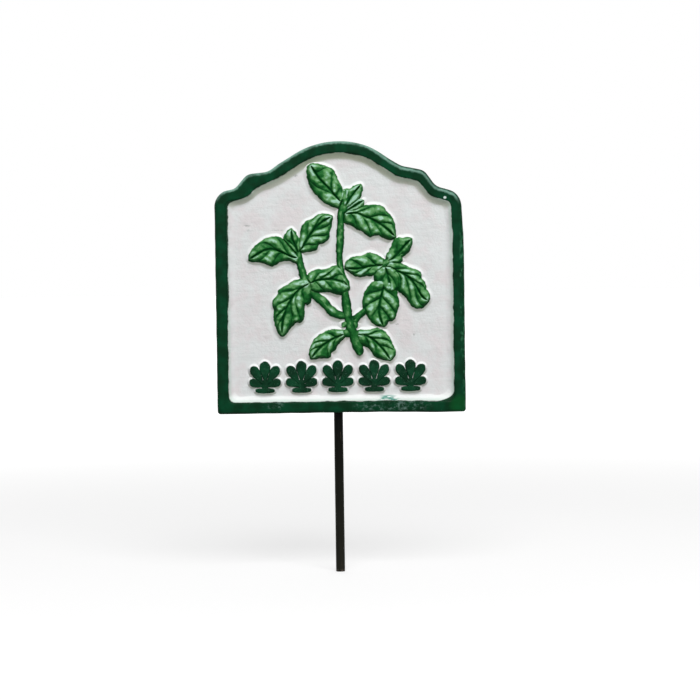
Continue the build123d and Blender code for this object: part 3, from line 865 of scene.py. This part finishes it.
# Each leaf: its midrib, left and right edge from base to tip, then for each side the veins, as shares of the
# midrib and of the edge that they run between, and the layer that it lies in
leaf_table = {
    "top_left": (
        [(0.6, 69.3), (-1.7, 71.8), (-3.9, 74.4), (-6.5, 77.2), (-9.3, 81.7)],
        [(-0.1, 67.4), (-2.7, 68.4), (-5.0, 69.6), (-6.6, 71.3), (-8.3, 73.1), (-9.4, 75.3), (-10.1, 77.8),
         (-10.3, 79.9), (-9.9, 81.2)],
        [(1.6, 70.3), (1.1, 72.0), (0.7, 74.3), (-0.3, 76.3), (-1.2, 78.3), (-2.0, 79.9), (-4.2, 80.9),
         (-6.5, 81.6), (-8.4, 81.9)],
        [(0.15, 0.78)], [(0.11, 0.28), (0.23, 0.61), (0.83, 0.72)], 1,
    ),
    "top_bud": (
        [(1.9, 67.5), (3.6, 70.3), (5.3, 72.6), (7.2, 74.9)],
        [(0.9, 69.7), (1.0, 72.0), (2.0, 73.4), (3.8, 73.5), (5.3, 74.4), (6.5, 74.9)],
        [(3.9, 68.0), (5.9, 69.6), (7.0, 71.2), (7.4, 72.8), (7.6, 74.2)], [(0.23, 0.59)], [], 1,
    ),
    "top_bud_back": (
        [(1.6, 69.6), (1.8, 71.6), (2.3, 73.4)], [(0.6, 70.7), (0.6, 72.3), (1.2, 73.5)],
        [(2.9, 70.3), (3.3, 71.9), (3.5, 73.2)], [], [], 0,
    ),
    "top_bud_side": (
        [(1.8, 66.2), (4.5, 67.6), (8.2, 69.9)], [(2.9, 67.8), (4.9, 69.3), (6.5, 70.4), (7.5, 70.2)],
        [(3.8, 66.1), (6.5, 66.9), (8.0, 67.9), (8.3, 68.9)], [], [], 0,
    ),
    "top_right": (
        [(1.7, 65.4), (4.5, 65.6), (6.5, 65.4), (8.4, 64.4), (10.7, 63.5), (13.3, 61.9), (15.6, 60.2),
         (18.5, 57.5)],
        [(2.8, 66.5), (5.5, 66.8), (7.2, 67.6), (9.1, 67.9), (11.4, 68.1), (13.4, 67.8), (14.6, 67.3),
         (15.4, 65.9), (16.5, 64.8), (17.5, 63.4), (18.0, 61.8), (18.2, 59.8), (18.4, 58.1)],
        [(1.6, 62.7), (3.8, 62.0), (5.7, 60.7), (7.3, 60.0), (9.0, 58.8), (10.3, 57.8), (11.6, 58.5),
         (12.9, 58.7), (14.2, 57.8), (16.2, 56.9), (17.5, 57.3)],
        [(0.11, 0.41), (0.4, 0.71), (0.61, 0.85)], [(0.04, 0.35), (0.27, 0.61), (0.53, 0.79)], 1,
    ),
    "left_low": (
        [(-13.6, 51.1), (-16.2, 51.6), (-18.5, 52.8), (-20.8, 53.7), (-22.8, 54.1), (-24.8, 53.7),
         (-27.1, 52.5), (-29.9, 50.8)],
        [(-13.9, 49.5), (-16.2, 50.5), (-18.2, 50.6), (-19.9, 50.1), (-21.2, 49.3), (-22.4, 48.8),
         (-23.5, 49.2), (-25.5, 50.1), (-27.1, 50.3), (-28.9, 50.5)],
        [(-14.9, 53.1), (-16.5, 54.8), (-18.3, 57.0), (-19.7, 57.8), (-21.1, 58.1), (-22.7, 57.9),
         (-24.4, 57.4), (-26.0, 56.4), (-27.4, 55.3), (-28.7, 54.0), (-29.6, 52.5)],
        [(0.28, 0.57), (0.53, 0.83)], [(0.11, 0.45), (0.42, 0.7)], 1,
    ),
    "left_bud": (
        [(-13.6, 52.4), (-14.5, 54.8), (-15.5, 57.1), (-15.8, 60.6)],
        [(-15.2, 53.4), (-17.0, 55.5), (-18.4, 57.3), (-17.7, 58.8), (-16.7, 60.1)],
        [(-12.9, 54.7), (-13.2, 56.9), (-14.0, 58.2), (-14.8, 59.5)], [(0.21, 0.73)], [(0.21, 0.61)], 1,
    ),
    "left_high": (
        [(-13.1, 53.4), (-11.5, 55.7), (-10.2, 57.8), (-8.7, 59.9), (-7.0, 61.7), (-5.1, 63.2), (-2.4, 64.7)],
        [(-13.4, 55.1), (-12.8, 58.0), (-12.4, 60.3), (-11.8, 62.0), (-10.7, 63.0), (-9.1, 63.5),
         (-7.8, 64.4), (-6.4, 65.2), (-4.8, 65.4), (-3.3, 65.0)],
        [(-11.9, 53.1), (-9.9, 53.6), (-7.9, 53.9), (-7.2, 55.0), (-7.0, 55.8), (-5.6, 56.1), (-4.1, 57.0),
         (-3.5, 58.4), (-3.5, 59.7), (-3.1, 60.8), (-2.7, 62.5), (-2.3, 63.8)],
        [(0.22, 0.6), (0.55, 0.89)], [(0.08, 0.39), (0.29, 0.68), (0.51, 0.89)], 1,
    ),
    "middle_drooping": (
        [(-9.9, 42.8), (-12.1, 41.7), (-14.1, 40.2), (-16.0, 37.8), (-17.5, 35.0), (-18.5, 32.4),
         (-19.2, 29.8), (-19.4, 25.6)],
        [(-9.5, 41.1), (-9.9, 38.5), (-10.4, 36.4), (-11.2, 36.0), (-11.9, 36.7), (-12.3, 35.3),
         (-12.5, 32.9), (-12.8, 30.8), (-13.6, 30.2), (-14.8, 30.5), (-16.3, 29.1), (-17.6, 27.6),
         (-18.5, 26.3)],
        [(-11.1, 44.3), (-13.4, 43.7), (-15.4, 43.1), (-17.0, 41.9), (-19.2, 41.0), (-20.0, 40.2),
         (-19.9, 39.2), (-21.1, 38.0), (-22.0, 36.7), (-21.9, 35.3), (-21.1, 34.3), (-21.6, 32.8),
         (-21.5, 31.0), (-21.1, 29.1), (-20.5, 27.3)],
        [(0.08, 0.36), (0.21, 0.65), (0.41, 0.82)], [(0.12, 0.45), (0.34, 0.67), (0.55, 0.79), (0.73, 0.9)],
        2,
    ),
    "middle_right": (
        [(-9.9, 42.8), (-8.1, 43.5), (-5.8, 43.9), (-3.2, 44.0), (-0.9, 43.5), (1.1, 42.8), (2.7, 41.7)],
        [(-10.7, 44.1), (-10.1, 45.6), (-8.7, 46.3), (-7.4, 46.9), (-5.8, 46.6), (-4.1, 46.9), (-2.4, 47.6),
         (-1.1, 48.2), (0.2, 47.5), (0.9, 46.2), (1.6, 44.6), (2.3, 43.1)],
        [(-9.7, 40.5), (-8.2, 40.0), (-6.5, 40.2), (-4.5, 40.4), (-2.9, 40.2), (-1.3, 39.4), (0.4, 39.3),
         (2.0, 39.9), (2.7, 40.9)],
        [(0.04, 0.39), (0.22, 0.6), (0.52, 0.83)], [(0.07, 0.42), (0.32, 0.61)], 2,
    ),
    "right_inner": (
        [(14.4, 48.5), (11.4, 48.2), (9.4, 48.0), (7.5, 47.5), (5.5, 47.3), (3.5, 47.4), (1.8, 47.7)],
        [(13.4, 46.8), (11.7, 45.7), (10.4, 45.2), (8.7, 45.3), (6.8, 44.9), (5.1, 45.2), (3.8, 46.0),
         (2.7, 46.9)],
        [(14.4, 50.3), (12.8, 51.2), (11.5, 51.8), (10.2, 52.3), (8.9, 52.0), (7.2, 51.3), (5.2, 51.0),
         (3.6, 50.8), (2.5, 49.8), (1.8, 48.6)],
        [(0.23, 0.56), (0.52, 0.79)], [(0.13, 0.52), (0.5, 0.81)], 1,
    ),
    "right_high": (
        [(15.7, 49.6), (17.7, 50.7), (19.1, 51.9), (20.4, 53.5), (21.8, 55.1), (23.6, 56.9)],
        [(15.4, 51.4), (16.3, 52.6), (17.1, 54.2), (17.8, 55.8), (18.5, 57.0), (19.5, 57.2), (20.8, 57.0),
         (22.1, 57.3), (22.9, 57.2)],
        [(16.7, 49.1), (19.5, 49.0), (20.4, 50.0), (20.2, 51.1), (21.4, 51.8), (22.6, 52.8), (23.3, 54.4),
         (23.7, 55.9)],
        [(0.29, 0.66)], [(0.25, 0.63)], 1,
    ),
    "right_outer": (
        [(15.4, 48.3), (18.7, 46.4), (20.9, 45.4), (22.9, 43.9), (24.5, 41.9), (25.8, 39.7), (26.8, 37.9),
         (29.0, 36.4)],
        [(16.4, 49.6), (18.7, 49.1), (20.7, 48.4), (22.6, 47.4), (24.6, 46.7), (25.9, 46.1), (26.7, 45.0),
         (26.4, 44.0), (27.4, 43.0), (28.0, 41.5), (28.0, 40.3), (29.0, 39.1), (29.5, 37.5)],
        [(18.6, 44.6), (19.1, 42.0), (19.5, 39.6), (20.5, 39.1), (21.8, 38.0), (22.8, 36.3), (23.7, 35.0),
         (25.0, 34.2), (26.7, 34.2), (27.7, 35.1), (28.4, 35.9)],
        [(0.09, 0.39), (0.26, 0.63), (0.47, 0.81)], [(0.13, 0.44), (0.32, 0.69), (0.58, 0.91)], 1,
    ),
    "right_front": (
        [(14.9, 47.8), (15.5, 45.3), (16.1, 43.0), (16.4, 39.9)],
        [(16.7, 47.8), (18.3, 46.6), (19.1, 44.9), (19.2, 42.9), (18.9, 41.0), (18.0, 39.9)],
        [(13.6, 47.6), (12.2, 46.7), (11.5, 45.1), (11.7, 43.4), (12.6, 42.1), (13.9, 41.2), (15.3, 40.4)],
        [(0.19, 0.85)], [(0.19, 0.76)], 2,
    ),
    "right_low": (
        [(15.0, 43.0), (13.8, 39.4), (13.2, 37.1), (12.8, 34.8), (12.7, 32.5), (13.3, 30.2), (14.1, 28.1)],
        [(17.4, 42.4), (18.5, 39.7), (18.6, 38.0), (19.0, 36.7), (19.1, 35.2), (18.4, 33.7), (18.1, 32.2),
         (17.7, 30.9), (16.7, 30.1), (15.6, 30.2), (15.1, 29.3), (14.7, 28.4)],
        [(12.3, 43.7), (10.7, 42.6), (9.3, 41.1), (8.3, 39.5), (7.8, 37.5), (7.5, 35.6), (7.7, 34.1),
         (8.5, 32.9), (9.5, 31.2), (10.5, 29.8), (11.7, 28.7), (12.7, 28.8), (13.4, 28.3)],
        [(0.1, 0.4), (0.29, 0.66), (0.53, 0.85)], [(0.15, 0.42), (0.35, 0.6), (0.58, 0.81)], 1,
    ),
    "bottom_left": (
        [(1.1, 25.9), (-1.2, 24.9), (-3.2, 24.0), (-5.0, 22.9), (-6.7, 21.6), (-8.2, 20.1), (-9.9, 18.0)],
        [(1.1, 24.9), (0.1, 24.0), (-0.9, 23.1), (-1.6, 21.9), (-2.2, 20.7), (-3.1, 20.3), (-3.6, 19.8),
         (-3.7, 18.6), (-4.6, 18.1), (-5.9, 18.4), (-7.6, 18.2), (-8.9, 18.0)],
        [(0.8, 27.1), (-0.8, 27.1), (-2.8, 27.3), (-4.8, 26.7), (-6.1, 25.9), (-7.8, 24.9), (-8.9, 23.8),
         (-9.6, 22.3), (-10.1, 21.0), (-10.4, 19.5)],
        [(0.13, 0.46), (0.4, 0.66)], [(0.16, 0.4), (0.37, 0.73), (0.63, 0.87)], 1,
    ),
    "bottom_right": (
        [(5.4, 25.7), (7.7, 25.4), (9.7, 24.6), (11.3, 23.3), (12.9, 21.6), (14.6, 19.6), (16.2, 17.0)],
        [(5.8, 26.9), (7.8, 26.9), (9.7, 27.0), (11.7, 27.5), (13.4, 27.0), (14.7, 26.0), (15.6, 24.7),
         (16.4, 23.2), (17.0, 21.5), (17.9, 20.0), (17.6, 18.6), (16.7, 17.6)],
        [(5.6, 24.2), (6.4, 22.5), (8.0, 22.1), (9.3, 21.3), (10.3, 20.3), (10.9, 19.0), (11.9, 18.0),
         (13.5, 17.7), (14.9, 17.3)],
        [(0.12, 0.44), (0.32, 0.67), (0.57, 0.82)], [(0.12, 0.43), (0.35, 0.68)], 1,
    ),
}


def along_line(points, shares):
    """Points at shares of a polyline's length."""
    points = np.array(points)
    at = travelled(points)
    return np.stack([np.interp(shares * at[-1], at, points[:, k]) for k in (0, 1)], axis=1)


def softened(loop, reach):
    """A closed line, each point averaged over its neighbours within reach, the near ones counting more."""
    weights = np.hanning(2 * reach + 3)[1:-1]
    shifts = range(-reach, reach + 1)
    return sum(w * np.roll(loop, shift, axis=0) for w, shift in zip(weights, shifts)) / weights.sum()


def leaf_lines(rib, left, right):
    """Edge and spine of a leaf, closed lines up its left side and down its right, and shares along them.

    The spine is the midrib, a smooth curve that stops a little short of both ends."""
    shares = np.linspace(0, 1, leaf_steps)
    spine = along_line(smooth_run(rib, leaf_steps), rib_margin + (1 - 2 * rib_margin) * shares)
    sides = [along_line([rib[0], *side, rib[-1]], shares) for side in (left, right)]
    return closed_line(*sides), closed_line(spine, spine), closed_line(shares, shares)


def lobe_phase(share, along, veins):
    """Where a point lies among its side's lobes: whole numbers on the veins, halves on the lobes' crests.

    A vein's place along the leaf goes from its start on the midrib to its end on the edge, as a power of the
    share of the way out."""
    places = [start + (end - start) * share**0.8 for start, end in veins]
    return np.interp(along, [0, *places, 1], [0.45, *range(1, len(veins) + 1), len(veins) + 0.55])


def rolled(shares, across, reach):
    """A quarter circle that rises from 0 at the edge to 1 at the reach in from it."""
    return np.sqrt(1 - (1 - np.clip((1 - shares[:, None]) * across / reach, 0, 1)) ** 2)


def leaf_surface(number, rib, left, right, left_veins, right_veins, layer):
    """A leaf as a raised shape. Its crown is a rolled edge times puffed lobes times a groove on the midrib.

    A lobe is a power of a sine between two veins times one of a sine across the side, the groove is a bell
    curve, and ripples make the crown lumpy."""
    edge, spine, along_side = leaf_lines(rib, left, right)
    edge, smooth_edge = softened(edge, 3), softened(edge, 12)
    across = np.linalg.norm(edge - spine, axis=1)
    share = leaf_shares[:, None]
    on_left = np.arange(len(edge)) < leaf_steps
    left_phase, right_phase = (
        np.array([lobe_phase(s, along_side, veins) for s in leaf_shares])
        for veins in (left_veins, right_veins)
    )
    between_veins = np.abs(np.sin(np.pi * np.where(on_left, left_phase, right_phase))) ** 0.7
    pillow = between_veins * np.sin(np.pi * (0.1 + 0.85 * share)) ** 0.6
    groove = 1 - vein_depth * np.exp(-((share * across / vein_half_width) ** 2))
    x, up = np.moveaxis(spine + (edge - spine) * share[..., None], -1, 0)
    lumps = 1 + leaf_lumps * ripples(x, up, 2.3, 40 + number, 14)
    worn = (1 - lobe_share + lobe_share * pillow) * groove * lumps
    crown = leaf_puff_rise * np.minimum(rolled(leaf_shares, across, leaf_roll) * worn, 1)
    margin_level = panel_level + leaf_edge_rise + leaf_layer_rise * layer
    points = raised_shape(edge, spine, margin_level, crown, leaf_shares, fillet_flare, smooth_edge)
    return points, crest_mark(worn, len(points))


for number, (name, leaf) in enumerate(leaf_table.items()):
    grids = [leaf_surface(number, *leaf)]
    make_piece("leaf_" + name, grids, "plaque", "herb_sprig", leaf_finish)


# Ornament row: five equal palmettes, cast with the plaque, raised with sloping sides like the border. Their
# tops are dark green, and their sides are white like the panel.
motif_count = 5
motif_pitch = 12.0
motif_row_offset, motif_row_height = -1.2, 6.9
motif_height, motif_rise = 10.3, 1.5
motif_crown, motif_roll, motif_flare = 0.25, 0.35, 1.1
petal_steps = 60
motif_white_level = panel_level + 1.12
motif_shares = np.linspace(0, 1, 12)

# Forms of a palmette: base, tip and half width as shares of its height, then how far out the form is widest
# and how full it is
motif_forms = [
    ((0.0, 0.26), (0.0, 1.0), 0.162, 0.74, 0.5),
    ((-0.02, 0.2), (-0.42, 0.84), 0.145, 0.74, 0.5),
    ((0.02, 0.2), (0.42, 0.84), 0.145, 0.74, 0.5),
    ((0.0, 0.17), (-0.49, 0.38), 0.13, 0.74, 0.5),
    ((0.0, 0.17), (0.49, 0.38), 0.13, 0.74, 0.5),
    ((-0.3, 0.07), (0.3, 0.07), 0.08, 0.5, 0.22),
    ((0.0, 0.02), (0.0, 0.42), 0.1, 0.5, 0.3),
]


def petal_edge(base, tip, half, widest, fullness):
    """Edge and spine of a petal, as shares of the motif's height: a sine whose crest is moved far out."""
    start, run = np.array(base), np.subtract(tip, base)
    length = np.hypot(*run)
    aside = np.array([-run[1], run[0]]) / length
    share = (1 - np.cos(np.linspace(0, np.pi, petal_steps))) / 2
    swell = np.sin(np.pi * share ** (np.log(0.5) / np.log(widest))) ** fullness
    spine = start + np.outer(share, run)
    let_out = np.outer(half * swell, aside)
    return closed_line(spine + let_out, spine - let_out), closed_line(spine, spine)


def palmette_grids(number):
    """Raised shapes of one palmette. Each crown rolls in from the edge, and ripples a little."""
    middle = np.array([motif_row_offset + (number - (motif_count - 1) / 2) * motif_pitch, motif_row_height])
    grids = []
    for form in motif_forms:
        edge, spine = (line * motif_height + middle for line in petal_edge(*form))
        across = np.linalg.norm(edge - spine, axis=1)
        lumps = 1 + 0.2 * ripples(*edge.T, 2.0, 30 + number)
        crown = motif_crown * rolled(motif_shares, across, motif_roll) * lumps
        margin_level = panel_level + motif_rise - motif_crown
        grids.append((raised_shape(edge, spine, margin_level, crown, motif_shares, motif_flare), {}))
    return grids


def palmette_green():
    """Bottle green on the tops and white on the sides, with a ragged edge between them."""
    paint = new_paint("dark_green_ornament_paint")
    green, height = green_coat(paint, srgb(0, 40, 20), srgb(6, 62, 36))
    green = blend(step(grain(paint, 0.5, 4.0), 0.6, 0.7) * 0.4, green, srgb(74, 112, 92))
    on_sides = painted_down_to(paint, motif_white_level, 0.15, 1.2, 1.0, 4.0, 0.6)
    # The white sides carry painted highlight where they face up and painted shade where they face down.
    colour = blend(on_sides, green, sloped_white(paint)[0])
    return finish_paint(colour, (0.9, 0.36, 0.55), height, 0.05, 0.08)


palmette_finish = palmette_green()
for number in range(motif_count):
    name, slot = "palmette_%d" % (number + 1), "dark_green_ornament_paint"
    make_piece(name, palmette_grids(number), "plaque", "ornament_row", palmette_finish)


# Studio: a pale floor, one large soft lamp high in front, and a white background that lights the object from
# behind more than from the camera's side.
photo_side = 700
photo_scale = 0.33
photo_foot = (341.9, 412.5)
camera_distance = 900.0
camera_turn, camera_rise, camera_roll = np.radians([-1.5, 2.5, 0.8])
sensor_width = 36.0
floor_reach = 4.0


def seen_straight(paint):
    """1 for what the camera sees, also by reflection or through glass, and 0 for light on the object."""
    rays = ("Is Camera Ray", "Is Glossy Ray", "Is Transmission Ray")
    camera_ray, glossy_ray, clear_ray = (Layer(paint, "LightPath", ray) for ray in rays)
    return camera_ray.sum("MAXIMUM", glossy_ray.sum("MAXIMUM", clear_ray))


def pale_floor():
    """Pale and matt, glowing for the camera so that it is white like the background, and clear from below."""
    paint = new_paint("pale_floor")
    shader = paint.node_tree.nodes["Principled BSDF"]
    shader.inputs["Base Color"].default_value = (0.35, 0.35, 0.35, 1)
    shader.inputs["Roughness"].default_value = 0.9
    shader.inputs["Emission Color"].default_value = (1, 1, 1, 1)
    away = Layer(paint, "VectorMath", "Value", {0: place(paint)}, operation="LENGTH")
    glow = seen_straight(paint) * step(away, 0.2, 0.9, 0.6, 1.0)
    paint.node_tree.links.new(glow.socket, shader.inputs["Emission Strength"])
    clear, from_below = Layer(paint, "BsdfTransparent"), Layer(paint, "NewGeometry", "Backfacing")
    either = Layer(paint, "MixShader", 0, {0: from_below, 1: shader.outputs[0], 2: clear})
    paint.node_tree.links.new(either.socket, paint.node_tree.nodes["Material Output"].inputs["Surface"])
    return paint


floor_mesh = bpy.data.meshes.new("floor")
floor_corners = [(x * floor_reach, y * floor_reach, 0) for x, y in ((-1, -1), (1, -1), (1, 1), (-1, 1))]
floor_mesh.from_pydata(floor_corners, [], [(0, 1, 2, 3)])
floor = bpy.data.objects.new("floor", floor_mesh)
bpy.context.scene.collection.objects.link(floor)
floor.data.materials.append(pale_floor())

world = bpy.data.worlds.new("studio")
world.use_nodes = True
bpy.context.scene.world = world
towards = Layer(world, "SeparateXYZ", "Y", {0: Layer(world, "TexCoord", "Generated")})
strength = seen_straight(world).sum("MAXIMUM", step(towards, 0.0, 0.9, 0.1, 1.0))
world.node_tree.links.new(strength.socket, world.node_tree.nodes["Background"].inputs["Strength"])
world.node_tree.nodes["Background"].inputs["Color"].default_value = (1, 1, 1, 1)

aim = Vector((plaque_middle, 0, plaque_foot + plaque_height / 2)) * MM


def soft_lamp(name, direction, distance, size, power):
    """A square lamp that faces the plaque from a direction."""
    lamp = bpy.data.objects.new(name, bpy.data.lights.new(name, "AREA"))
    lamp.data.size = size
    lamp.data.energy = power
    lamp.location = aim + Vector(direction).normalized() * distance
    lamp.rotation_euler = Vector(direction).to_track_quat("Z", "Y").to_euler()
    bpy.context.scene.collection.objects.link(lamp)


soft_lamp("key_lamp", (0.13, -0.95, 0.85), 1.0, 0.7, 10.9)

camera = bpy.data.objects.new("camera", bpy.data.cameras.new("camera"))
bpy.context.scene.collection.objects.link(camera)
bpy.context.scene.camera = camera
camera.data.sensor_width = sensor_width
camera.data.lens = sensor_width * camera_distance / (photo_side * photo_scale)
roll = np.array([[np.cos(camera_roll), -np.sin(camera_roll)], [np.sin(camera_roll), np.cos(camera_roll)]])
centre_px = np.array([photo_side / 2 - photo_foot[0], photo_side / 2 - photo_foot[1]])
centre_x, centre_down = roll @ centre_px * photo_scale
target = Vector((plaque_middle + centre_x, -panel_level, plaque_foot - centre_down)) * MM
backward = Vector((
    np.sin(camera_turn) * np.cos(camera_rise), -np.cos(camera_turn) * np.cos(camera_rise), np.sin(camera_rise)
))
facing = backward.to_track_quat("Z", "Y").to_matrix().to_4x4()
camera_place = Matrix.Translation(target + backward * camera_distance * MM)
camera.matrix_world = camera_place @ facing @ Matrix.Rotation(-camera_roll, 4, "Z")
bpy.context.scene.view_settings.view_transform = "Standard"
